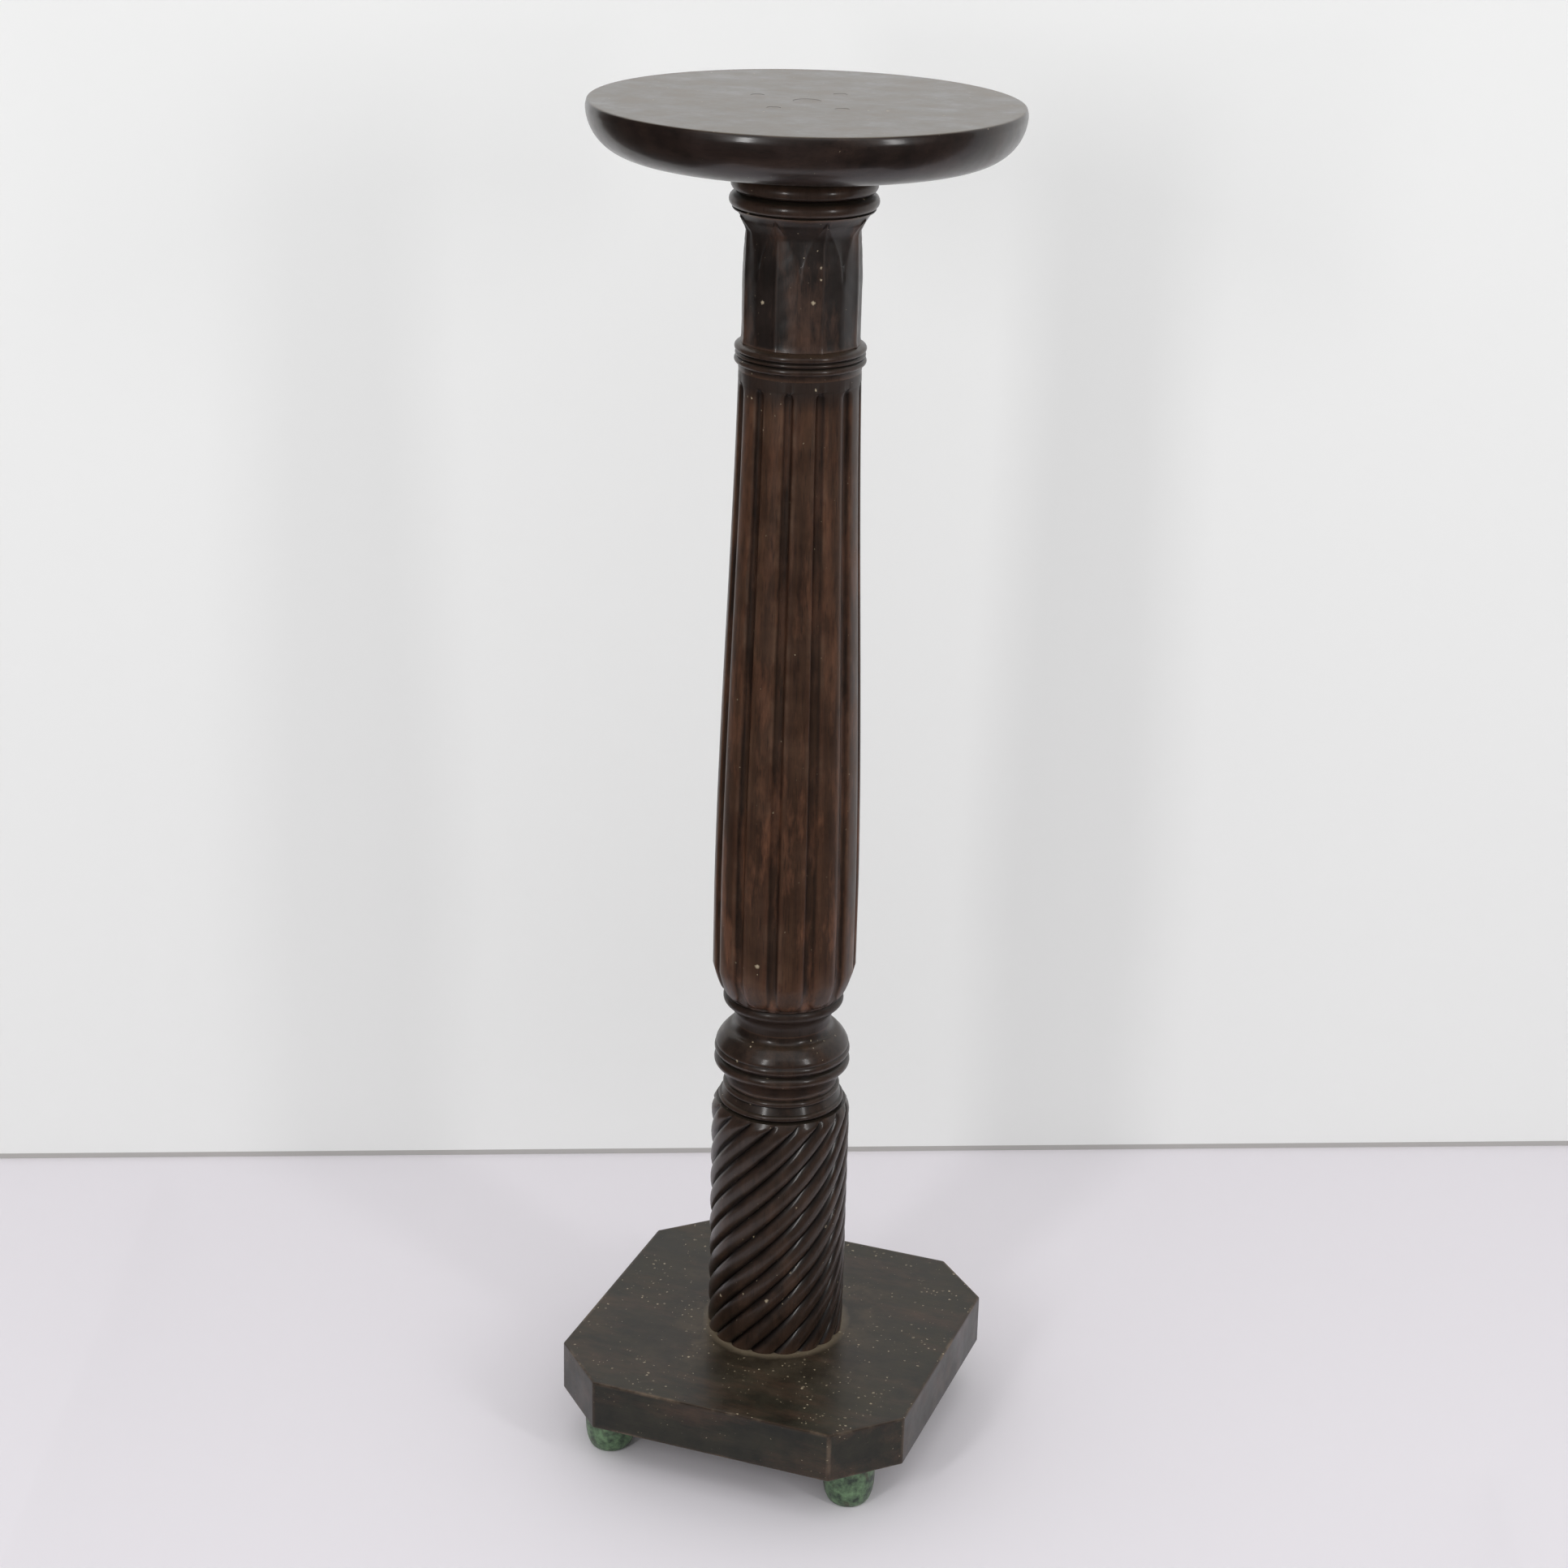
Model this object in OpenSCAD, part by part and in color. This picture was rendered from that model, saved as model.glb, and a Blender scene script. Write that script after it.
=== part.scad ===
// Tall wooden torchere stand: a round top on a turned and carved column, a canted plinth, bun feet.
// Millimetres. The origin is on the floor under the column's axis, +Z is up and -Y is the front.
// The column is built of turned pieces that are pinned end to end on one axis.

/* [Round top] */
// Diameter of the round top
top_d = 301; // [250:1:350]
// Thickness of the round top
top_t = 36; // [28:1:44]
// Upright band above the rounded edge
top_band_h = 4; // [2:0.5:8]

/* [Fixings of the top] */
// Diameter of the pin that shows in the middle of the top
pin_d = 19; // [14:0.5:24]
// Depth of that pin in the capital
pin_in_capital = 40; // [20:1:60]
// Diameter of the wooden plugs over the screws
plug_d = 9.5; // [7:0.5:11]
// Length of the wooden plugs
plug_l = 7; // [4:0.5:9]
// Depth from the top's upper face to the screw heads
screw_sunk = 14; // [11:0.5:18]
// Screw length below the head
screw_l = 46; // [38:1:52]
// Screw shank diameter
screw_d = 4.5; // [3:0.5:6]
// Distance from the side of the cap ring's neck to a screw's axis
screw_edge = 7; // [6:0.5:10]

/* [Cap ring] */
// Height of the moulded ring under the top
cap_ring_h = 37; // [32:1:46]
// Diameter of its neck under the top
cap_neck_d = 94; // [84:1:110]
// Diameter of its upper bead
cap_bead_d = 102; // [96:1:118]
// Half height of its upper bead
cap_bead_r = 6; // [4:0.5:7]
// Diameter of its lower bead
cap_low_bead_d = 104; // [96:1:116]
// Half height of its lower bead
cap_low_bead_r = 5; // [3:0.1:5.5]

/* [Capital] */
// Height of the carved capital
capital_h = 92; // [76:1:110]
// Diameter over the carved leaves
capital_d = 84; // [78:0.5:90]
// Diameter of the flared rim that the leaf tips turn out to
capital_rim_d = 98; // [92:0.5:102]
// Number of carved leaves
leaves = 8; // [6:1:12]
// Thickness of a leaf over the ground behind it
leaf_t = 2.4; // [1.5:0.1:3.2]
// Height of the midrib over the leaf
rib_t = 1; // [0.5:0.1:1.5]

/* [Collar ring] */
// Height of the collar between capital and shaft
collar_h = 20; // [16:0.5:26]
// Diameter over the collar's two beads
collar_d = 93; // [90:0.5:100]
// Half height of a collar bead
collar_bead_r = 2.5; // [1.8:0.1:3]
// Height of the plain foot under its lower bead
collar_foot_h = 4.7; // [3:0.1:6]

/* [Reeded shaft] */
// Height of the reeded shaft from the waist to the collar
shaft_h = 501; // [420:1:580]
// Diameter of the shaft under the collar
shaft_top_d = 86.6; // [80:0.2:90]
// Diameter of the shaft at its fullest
shaft_full_d = 107.8; // [100:0.2:118]
// Height of the fullest part over the waist
shaft_full_h = 110; // [80:1:150]
// Number of reeds
reeds = 12; // [9:1:15]
// Width of the bottom of the flutes between the reeds
flute_w = 4; // [3:0.1:8]
// Depth of the flutes
flute_depth = 3.2; // [2:0.1:4]
// Rounding of the long edges of a reed
reed_edge = 2.4; // [1.5:0.1:4]
// Plain band between the top ends of the flutes and the collar
shaft_band_h = 8; // [6:1:20]
// Length of the tapered lower ends of the reeds
reed_tip_l = 22; // [14:1:30]

/* [Waist] */
// Diameter of the narrow waist between shaft and knop
waist_d = 73.6; // [60:0.2:78]
// Diameter of the plain bead under the reeds
bulb_bead_d = 91; // [86:0.2:96]
// Half height of that bead
bulb_bead_r = 5; // [4:0.1:6]
// Height of that bead's middle over the waist
bulb_bead_h = 18.6; // [17:0.1:22]
// Spigot on top of the shaft, its diameter
spigot_d = 32; // [24:1:40]
// Spigot length inside the capital
spigot_in_capital = 38; // [20:1:45]

/* [Knop] */
// Height of the turned knop
knop_h = 49; // [44:1:56]
// Diameter over the knop's two beads
knop_d = 103.2; // [98:0.2:110]
// Half height of its lower bead
knop_low_bead_r = 4.5; // [3.5:0.1:5]
// Half height of its upper bead
knop_bead_r = 3.9; // [3:0.1:4.5]
// Height of the cove under the lower bead
knop_cove_h = 11.4; // [8:0.1:12]
// Diameter over the shoulder of the cushion above the beads
knop_shoulder_d = 94; // [88:0.2:97]
// Rounding of that shoulder
knop_shoulder_r = 9.6; // [7:0.1:11]
// Diameter of the groove under the knop
notch_d = 84.4; // [76:0.2:87]
// Diameter of the long pin through the knop
waist_pin_d = 26; // [20:1:32]
// Depth of the long pin in the shaft and in the spiral piece
waist_pin_in = 45; // [25:1:60]

/* [Spiral piece] */
// Height of the rope-twist carving
spiral_h = 197; // [150:1:240]
// Diameter over the twisted strands
spiral_d = 106; // [102:0.5:114]
// Number of strands
strands = 17; // [12:1:20]
// Depth of the grooves between strands
strand_depth = 3.2; // [2:0.1:4]
// Height in which a strand makes one full turn
strand_lead = 340; // [280:5:440]
// Height of the turned head over the strands
spiral_head_h = 18; // [16.5:0.5:22]
// Diameter of the lower bead of that head
head_low_bead_d = 95.8; // [92:0.2:98]
// Diameter of the upper bead of that head
head_bead_d = 89.2; // [87:0.2:92]
// Half height of the head's beads
head_bead_r = 2.8; // [2:0.1:3.2]
// Diameter of the tenon through the plinth
tenon_d = 38; // [30:1:46]
// Width of the saw cut for the wedge in the tenon's end
wedge_t = 3; // [2:0.5:5]
// Depth of that saw cut
wedge_l = 26; // [18:1:30]

/* [Plinth] */
// Side of the square plinth
plinth_w = 279; // [240:1:320]
// Thickness of the plinth
plinth_t = 40; // [32:1:52]
// Length cut off each side by a canted corner
plinth_cant = 44; // [30:1:60]
// Rounding of the plinth's upper edge
plinth_arris = 1.2; // [0.5:0.1:3]

/* [Feet] */
// Diameter of a bun foot
foot_d = 40; // [32:1:50]
// Height of a bun foot
foot_h = 38; // [26:1:46]
// Diameter of a foot's flat underside
foot_flat_d = 27; // [18:1:30]
// Diameter of a foot's top under the plinth
foot_top_d = 35; // [28:1:38]
// Distance from the plinth's sides to a foot's axis
foot_inset = 41.5; // [38:0.5:55]
// Diameter of the pin on a foot
foot_pin_d = 16; // [10:1:17]
// Length of the pin on a foot
foot_pin_l = 22; // [14:1:28]

/* [Fits] */
// Clearance round every pin, screw and plug, on the radius
fit = 0.1; // [0.05:0.05:0.3]
// Spare depth beyond the end of a pin
end_gap = 0.8; // [0.3:0.1:2]

/* [Hidden] */

// Heights of the joints between the pieces, from the floor up
plinth_z = foot_h;
spiral_z = plinth_z + plinth_t;
head_z = spiral_z + spiral_h;
knop_z = head_z + spiral_head_h;
waist_z = knop_z + knop_h;
collar_z = waist_z + shaft_h;
capital_z = collar_z + collar_h;
cap_ring_z = capital_z + capital_h;
top_z = cap_ring_z + cap_ring_h;
total_h = top_z + top_t;

// Marks that the carver set out from: one reed and one leaf share this angle
carve_a = -5;
// Strand angle at the plinth
strand_a = 4;
// Facets of a turned surface
turn_fn = 96;

// Screws stand on a circle in the cap ring's neck, set out by hand
screw_circle_r = cap_neck_d / 2 - screw_edge;
screw_angles = [75, 168, 256, 326];
screw_head_h = screw_d / 2;

// Plain band under the reeds and the first height of the carving, over the waist
tip_h = bulb_bead_h + bulb_bead_r + 1;
// Radius of the ground that the reed ends stand on
tip_ground_r = bulb_bead_d / 2 - 0.7;
// Height of a reed end over that ground
tip_proud = 1.4;
// Height over the waist where the flutes close in an arch
flute_top_h = shaft_h - shaft_band_h;
// Length of the round plan of a reed's lower end
tip_round = 9;
// Hollow between the crown of a reed and its sides
reed_crown = 0.6;

// Points on a circle round (r0, z0) from angle a0 to a1, in n steps
function arc(r0, z0, rad, a0, a1, n = 8) =
    [for (i = [0:n]) let (a = a0 + (a1 - a0) * i / n) [r0 + rad * cos(a), z0 + rad * sin(a)]];

// Bead of half height rad whose crest is at diameter d and height z, from below to above
function bead(d, z, rad, a0 = -75, a1 = 75) = arc(d / 2 - rad, z, rad, a0, a1);

// Smooth curve from 0 to 1 with slope s0 at the start and s1 at the end
function swell(t, s0, s1) =
    t * t * (3 - 2 * t) + s0 * t * (1 - t) * (1 - t) - s1 * t * t * (1 - t);

// Turned solid from an outline given from its lower end to its upper end
module turned(outline) {
    low = outline[0][1];
    high = outline[len(outline) - 1][1];
    rotate_extrude($fn = turn_fn)
        polygon(concat([[0, low]], outline, [[0, high]]));
}

// Round hole or pin along the axis
module round_bar(d, z0, z1) {
    translate([0, 0, z0])
        cylinder(d = d, h = z1 - z0, $fn = 64);
}

// Closed skin over rings of points, all rings with the same count
module ring_skin(rings) {
    n = len(rings[0]);
    m = len(rings);
    sides = [
        for (j = [0:m - 2], i = [0:n - 1])
            let (k = (i + 1) % n)
            each [[j * n + i, (j + 1) * n + i, (j + 1) * n + k], [j * n + i, (j + 1) * n + k, j * n + k]]
    ];
    bottom = [for (i = [0:n - 1]) i];
    lid = [for (i = [n - 1:-1:0]) (m - 1) * n + i];
    polyhedron(points = [for (ring = rings) each ring], faces = concat([bottom], sides, [lid]));
}

// Places a child at each screw in the top
module at_screws() {
    for (a = screw_angles)
        rotate(a)
            translate([screw_circle_r, 0, 0])
                children();
}

module top_board() {
    edge_r = top_t - top_band_h;
    color("#4a3a30")
        difference() {
            turned(concat(
                arc(top_d / 2 - edge_r, total_h - top_band_h, edge_r, -90, 0, 14),
                [[top_d / 2, total_h - 0.8], [top_d / 2 - 0.8, total_h]]
            ));
            round_bar(pin_d + 2 * fit, top_z - 1, total_h + 1);
            at_screws() {
                round_bar(plug_d + 2 * fit, total_h - screw_sunk, total_h + 1);
                round_bar(screw_d + 2 * fit, top_z - 1, total_h - screw_sunk + 1);
            }
        }
}

module top_pin() {
    color("#3a2a22")
        round_bar(pin_d, cap_ring_z - pin_in_capital, total_h);
}

module top_screws() {
    color("#8a8a88")
        at_screws()
            difference() {
                union() {
                    round_bar(screw_d, total_h - screw_sunk - screw_l, total_h - screw_sunk + 0.5);
                    round_bar(plug_d - 1, total_h - screw_sunk, total_h - screw_sunk + screw_head_h);
                }
                translate([0, 0, total_h - screw_sunk + screw_head_h])
                    cube([plug_d, 1, 1.6], center = true);
            }
}

module top_plugs() {
    color("#33241d")
        at_screws()
            round_bar(plug_d, total_h - plug_l, total_h);
}

module cap_ring() {
    low_bead_z = cap_ring_z + 1.5 + cap_low_bead_r;
    bead_z = low_bead_z + cap_low_bead_r + cap_bead_r + 0.5;
    color("#2f211b")
        difference() {
            turned(concat(
                [[capital_rim_d / 2, cap_ring_z], [capital_rim_d / 2 + 0.8, cap_ring_z + 1]],
                bead(cap_low_bead_d, low_bead_z, cap_low_bead_r),
                bead(cap_bead_d, bead_z, cap_bead_r),
                [[cap_neck_d / 2, bead_z + cap_bead_r + 0.6], [cap_neck_d / 2, top_z]]
            ));
            round_bar(pin_d + 2 * fit, cap_ring_z - 1, top_z + 1);
            at_screws()
                round_bar(screw_d + 2 * fit, total_h - screw_sunk - screw_l - end_gap, top_z + 1);
        }
}

// Ground of the capital behind the leaves: a drum with a flared rim, v runs from 0 to 1
function capital_ground(v) =
    capital_d / 2 - leaf_t
    + (v < 0.04 ? 0.6 * (1 - v / 0.04) : 0)
    + (v > 0.84 ? (capital_rim_d / 2 - 0.8 - capital_d / 2 + leaf_t) * pow((v - 0.84) / 0.16, 1.3) : 0);

// Half width of a leaf as a share of its sector: full below, closing to a point at the rim
function leaf_half(v) = v < 0.6 ? 1 : v < 0.97 ? 1 - pow((v - 0.6) / 0.37, 1.7) : 0;

// Share of a leaf's thickness that stays in the joint between two leaves, fading out upwards
function leaf_joint(v) = 0.7 * min(1, max(0, (0.72 - v) / 0.2));

// Height of the leaf over the ground at share u of its half width, v up the capital
function leaf_rise(u, v) =
    let (
        half = leaf_half(v),
        in = half > 0.02 ? 1 - u / half : 0,
        edge = in <= 0 ? 0 : in > 0.16 ? 1 : sqrt(1 - pow(1 - in / 0.16, 2)),
        hollow = in <= 0 ? 0 : 0.5 * sin(180 * min(1, u / half)),
        rib = half < 0.1 ? 0 : rib_t * max(0, 1 - u / 0.13) * min(1, (0.94 - v) / 0.1)
    )
    max(0, (leaf_t - hollow) * (leaf_joint(v) + (1 - leaf_joint(v)) * edge) + rib);

module capital() {
    sector = 360 / leaves;
    steps = [0, 0.03, 0.1, 0.25, 0.42, 0.58, 0.68, 0.75, 0.8, 0.84, 0.88, 0.91, 0.94, 0.965, 0.985, 1];
    across = [-1, -0.93, -0.84, -0.5, -0.13, 0, 0.13, 0.5, 0.84, 0.93];
    rings = [
        for (v = steps) [
            for (i = [0:leaves - 1], k = across)
                let (
                    squeeze = leaf_half(v) > 0.12 ? leaf_half(v) : 0.12,
                    u = abs(k) == 1 ? 1 : abs(k) * squeeze,
                    a = carve_a + sector * (i + sign(k) * u / 2),
                    r = capital_ground(v) + leaf_rise(u, v)
                )
                [r * cos(a), r * sin(a), capital_z + v * capital_h]
        ]
    ];
    color("#35241d")
        difference() {
            ring_skin(rings);
            round_bar(pin_d + 2 * fit, cap_ring_z - pin_in_capital - end_gap, cap_ring_z + 1);
            round_bar(spigot_d + 2 * fit, capital_z - 1, capital_z + spigot_in_capital + end_gap);
        }
}

module collar_ring() {
    low_bead_z = collar_z + collar_foot_h + collar_bead_r;
    bead_z = capital_z - 1.5 - collar_bead_r;
    band_z = (low_bead_z + bead_z) / 2;
    color("#33231c")
        difference() {
            turned(concat(
                [[shaft_top_d / 2, collar_z], [shaft_top_d / 2 + 0.4, low_bead_z - collar_bead_r - 0.6]],
                bead(collar_d, low_bead_z, collar_bead_r),
                [[collar_d / 2 - 0.8, band_z - 0.8], [collar_d / 2 - 0.8, band_z + 0.8]],
                bead(collar_d - 0.2, bead_z, collar_bead_r),
                [[capital_d / 2, collar_z + collar_h]]
            ));
            round_bar(spigot_d + 2 * fit, collar_z - 1, collar_z + collar_h + 1);
        }
}

// Radius over the reeds at height h over the waist
function reed_r(h) =
    h < tip_h + reed_tip_l
        ? let (t = (h - tip_h) / reed_tip_l, low = tip_ground_r + tip_proud)
            low + (shaft_full_d / 2 - low) * t * (1.35 - 0.35 * t)
        : h < shaft_full_h
            ? shaft_full_d / 2
            : let (t = (shaft_h - h) / (shaft_h - shaft_full_h))
                (shaft_top_d + (shaft_full_d - shaft_top_d) * swell(t, 0.55, 0.3)) / 2;

// Share of the full flute width and depth left at height h, closing in an arch at the top
function flute_open(h) =
    h < flute_top_h - flute_w / 2 ? 1
        : h > flute_top_h ? 0 : sqrt(1 - pow(1 - (flute_top_h - h) * 2 / flute_w, 2));

// Radius of the ground between the reeds at height h
function flute_r(h) =
    reed_r(h) - flute_open(h) * (tip_proud + (flute_depth - tip_proud) * min(1, (h - tip_h) / reed_tip_l));

// Half width of a reed at height h, along the arc
function reed_half(h) =
    180 / reeds * reed_r(h) * PI / 180 - max(0.4, flute_w * flute_open(h)) / 2;

// Share of that width left at the round lower end
function tip_half(h) =
    h > tip_h + tip_round ? 1 : max(0.25, sqrt(1 - pow(1 - (h - tip_h) / tip_round, 2)));

// Radius of the carved shaft at height h and distance x along the arc from a reed's crown
function carved_r(h, x) =
    let (
        half = reed_half(h),
        end = h > tip_h + tip_round ? 0 : 1 - (h - tip_h) / tip_round,
        inside = half * (1 - sqrt(pow(x / half, 2) + end * end)),
        rise = inside <= 0 ? 0 : inside > reed_edge ? 1 : sqrt(1 - pow(1 - inside / reed_edge, 2))
    )
    flute_r(h) + (reed_r(h) - flute_r(h) - reed_crown * flute_open(h) * pow(x / half, 2)) * rise;

module reeded_shaft() {
    ends = [0, 0.7, 2, 4, 6.5, tip_round, 0.65 * reed_tip_l, reed_tip_l];
    arch = flute_w / 2;
    heights = concat(
        [for (e = ends) tip_h + e],
        [for (i = [0:7]) shaft_full_h + (flute_top_h - arch - shaft_full_h) * i / 7],
        [for (e = [0.5, 0.15, 0.02]) flute_top_h - e * arch],
        [flute_top_h + 1, shaft_h]
    );
    across = [-1, -0.93, -0.8, -0.55, 0, 0.55, 0.8, 0.93, 1];
    rings = [
        for (h = heights) [
            for (i = [0:reeds - 1])
                each [
                    for (k = across)
                        let (
                            x = k * reed_half(h) * tip_half(h),
                            a = carve_a + 360 / reeds * i + x / reed_r(h) * 180 / PI,
                            r = carved_r(h, x)
                        )
                        [r * cos(a), r * sin(a), waist_z + h],
                    let (a = carve_a + 360 / reeds * (i + 0.5))
                        [flute_r(h) * cos(a), flute_r(h) * sin(a), waist_z + h]
                ]
        ]
    ];
    color("#5a3524")
        difference() {
            union() {
                ring_skin(rings);
                turned(concat(
                    [[waist_d / 2, waist_z], [waist_d / 2, waist_z + 4]],
                    [[waist_d / 2 + 1, waist_z + 8], [waist_d / 2 + 4, waist_z + 11.8]],
                    bead(bulb_bead_d, waist_z + bulb_bead_h, bulb_bead_r, -50, 50),
                    [[tip_ground_r + 0.3, waist_z + tip_h], [tip_ground_r - 2, waist_z + tip_h + 2]]
                ));
                round_bar(spigot_d, collar_z - 1, capital_z + spigot_in_capital);
            }
            round_bar(waist_pin_d + 2 * fit, waist_z - 1, waist_z + waist_pin_in + end_gap);
        }
}

module waist_pin() {
    color("#7a5a3c")
        round_bar(waist_pin_d, knop_z - waist_pin_in, waist_z + waist_pin_in);
}

module knop() {
    low_bead_z = knop_z + knop_cove_h + knop_low_bead_r;
    bead_z = low_bead_z + knop_low_bead_r + knop_bead_r + 1.2;
    shoulder_z = waist_z - knop_shoulder_r - 6.4;
    color("#2c1f1a")
        difference() {
            turned(concat(
                [[notch_d / 2, knop_z], [notch_d / 2 + 1.2, knop_z + 3]],
                bead(knop_d, low_bead_z, knop_low_bead_r),
                bead(knop_d - 0.4, bead_z, knop_bead_r, -70, 50),
                [[knop_d / 2 - 1.1, bead_z + 5], [knop_d / 2 - 3.2, bead_z + 9]],
                bead(knop_shoulder_d, shoulder_z, knop_shoulder_r, 30, 78),
                [[waist_d / 2 + 0.8, waist_z - 4.6], [waist_d / 2, waist_z]]
            ));
            round_bar(waist_pin_d + 2 * fit, knop_z - 1, waist_z + 1);
        }
}

module spiral_shaft() {
    strand_outline = [
        for (i = [0:4 * strands - 1])
            let (a = 90 * i / strands, r = spiral_d / 2 - strand_depth * (1 - abs(sin(45 * i))))
            [r * cos(a), r * sin(a)]
    ];
    low_bead_z = head_z + head_bead_r;
    bead_z = knop_z - 2.2 - head_bead_r;
    color("#33221b")
        difference() {
            union() {
                intersection() {
                    translate([0, 0, spiral_z])
                        rotate(strand_a)
                            linear_extrude(spiral_h, twist = -360 * spiral_h / strand_lead, slices = 32)
                                polygon(strand_outline);
                    turned([
                        [spiral_d / 2 + 1, spiral_z], [spiral_d / 2 + 1, head_z - 5.4],
                        [spiral_d / 2 - 0.4, head_z - 3.6], [spiral_d / 2 - 2.8, head_z]
                    ]);
                }
                turned(concat(
                    [[head_low_bead_d / 2, head_z - 1]],
                    bead(head_low_bead_d, low_bead_z, head_bead_r, -60, 80),
                    bead(head_bead_d, bead_z, head_bead_r, -60, 80),
                    [[notch_d / 2, knop_z - 1.5], [notch_d / 2, knop_z]]
                ));
                round_bar(tenon_d, plinth_z, spiral_z + 1);
            }
            round_bar(waist_pin_d + 2 * fit, knop_z - waist_pin_in - end_gap, knop_z + 1);
            translate([-tenon_d / 2 - 1, -wedge_t / 2 - fit, plinth_z - 1])
                cube([tenon_d + 2, wedge_t + 2 * fit, wedge_l + end_gap + 1]);
        }
}

module tenon_wedge() {
    half_w = sqrt(pow(tenon_d / 2, 2) - pow(wedge_t / 2, 2));
    color("#8a6a48")
        translate([0, wedge_t / 2, plinth_z])
            rotate([90, 0, 0])
                linear_extrude(wedge_t)
                    polygon([[-half_w, 0], [half_w, 0], [half_w - 1, wedge_l], [1 - half_w, wedge_l]]);
}

// Outline of the plinth, drawn in by the given amount
function plinth_outline(inset) =
    let (
        w = plinth_w / 2 - inset,
        c = plinth_w / 2 - plinth_cant - inset * (sqrt(2) - 1)
    )
    [[w, -c], [w, c], [c, w], [-c, w], [-w, c], [-w, -c], [-c, -w], [c, -w]];

// Distance of a foot's axis from the middle of the plinth, along X and along Y
foot_at = plinth_w / 2 - foot_inset;

module plinth() {
    ring = function (z, inset) [for (p = plinth_outline(inset)) [p[0], p[1], z]];
    color("#4b443a")
        difference() {
            ring_skin([
                ring(plinth_z, 0), ring(spiral_z - plinth_arris, 0),
                ring(spiral_z - 0.3 * plinth_arris, 0.3 * plinth_arris), ring(spiral_z, plinth_arris)
            ]);
            round_bar(tenon_d + 2 * fit, plinth_z - 1, spiral_z + 1);
            for (x = [-1, 1], y = [-1, 1])
                translate([x * foot_at, y * foot_at, 0])
                    round_bar(foot_pin_d + 2 * fit, plinth_z - 1, plinth_z + foot_pin_l + end_gap);
        }
}

// Bun foot with its pin, at the given sides of the plinth: a deep bowl below, a short turn in above
module bun_foot(x, y) {
    crest_h = 0.62 * foot_h;
    color("#6d8a6a")
        translate([x * foot_at, y * foot_at, 0]) {
            turned(concat(
                [for (a = [0:10:80])
                    [foot_flat_d / 2 + (foot_d - foot_flat_d) / 2 * sin(a), crest_h * (1 - cos(a))]],
                [for (a = [0:15:90])
                    [foot_top_d / 2 + (foot_d - foot_top_d) / 2 * cos(a), crest_h + (foot_h - crest_h) * sin(a)]]
            ));
            round_bar(foot_pin_d, foot_h - 1, foot_h + foot_pin_l);
        }
}

module foot_front_left() {
    bun_foot(-1, -1);
}

module foot_front_right() {
    bun_foot(1, -1);
}

module foot_back_left() {
    bun_foot(-1, 1);
}

module foot_back_right() {
    bun_foot(1, 1);
}

top_board();
top_pin();
top_screws();
top_plugs();
cap_ring();
capital();
collar_ring();
reeded_shaft();
waist_pin();
knop();
spiral_shaft();
tenon_wedge();
plinth();
foot_front_left();
foot_front_right();
foot_back_left();
foot_back_right();
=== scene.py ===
"""Tall mahogany torchere stand: round top, leaf capital, reeded shaft, rope twist, canted plinth, bun feet.

Metres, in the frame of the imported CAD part: +Z is up, -Y is the front and the column stands on the Z axis.
"""
import math

import bmesh
import bpy
from mathutils import Euler, Matrix, Vector


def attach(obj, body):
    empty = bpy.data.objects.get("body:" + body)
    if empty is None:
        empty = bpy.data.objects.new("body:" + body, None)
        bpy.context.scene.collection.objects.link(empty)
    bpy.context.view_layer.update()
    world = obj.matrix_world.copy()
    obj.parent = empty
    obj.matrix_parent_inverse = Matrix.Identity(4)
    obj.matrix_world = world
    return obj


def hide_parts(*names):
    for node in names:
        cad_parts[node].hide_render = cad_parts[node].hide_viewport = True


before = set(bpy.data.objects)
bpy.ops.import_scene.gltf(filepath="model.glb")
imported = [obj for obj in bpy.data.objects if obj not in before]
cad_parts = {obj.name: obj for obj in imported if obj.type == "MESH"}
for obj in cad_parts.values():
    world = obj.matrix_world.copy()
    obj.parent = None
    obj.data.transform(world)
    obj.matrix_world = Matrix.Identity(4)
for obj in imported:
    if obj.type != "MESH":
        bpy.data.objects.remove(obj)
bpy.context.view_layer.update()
mm = 0.001
scene = bpy.context.scene
scene.view_settings.view_transform = "Standard"


# Camera: a standing viewer a little right of the front, looking down at the whole stand.
# It is level with a person's chin, and the picture leans slightly, as one taken by hand does.
camera_distance = 2.1212
camera_height = 1.3507
camera_bearing = math.radians(-70.2)
camera_down = math.radians(21.13)
camera_turn = math.radians(0.1)
camera_lean = math.radians(1.48)
camera_lens = 70.9

camera = bpy.data.objects.new("camera", bpy.data.cameras.new("camera"))
camera.data.lens = camera_lens
camera.data.sensor_width = 36
scene.collection.objects.link(camera)
camera.location = (
    camera_distance * math.cos(camera_bearing),
    camera_distance * math.sin(camera_bearing),
    camera_height,
)
level_look = Euler((math.pi / 2 - camera_down, 0, camera_bearing + math.pi / 2 + camera_turn)).to_matrix()
camera.rotation_euler = (level_look @ Matrix.Rotation(camera_lean, 3, "Z")).to_euler()
scene.camera = camera


# Room: a white sheet on the floor and a white wall close behind, lit by two soft lamps and a pale room.
# The wall matters to the looks, because the flat tops mirror it at a low angle, and the dark floor
# in front of the sheet glows dimly, is seen in reflections alone, and paints the column's dark reflections.
def colour(sheet_value):
    """A colour given as an sRGB hex value, as the linear numbers that a socket takes."""
    parts = [int(sheet_value[i:i + 2], 16) / 255 for i in (1, 3, 5)]
    return [p / 12.92 if p <= 0.04045 else ((p + 0.055) / 1.055) ** 2.4 for p in parts] + [1]


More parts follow.
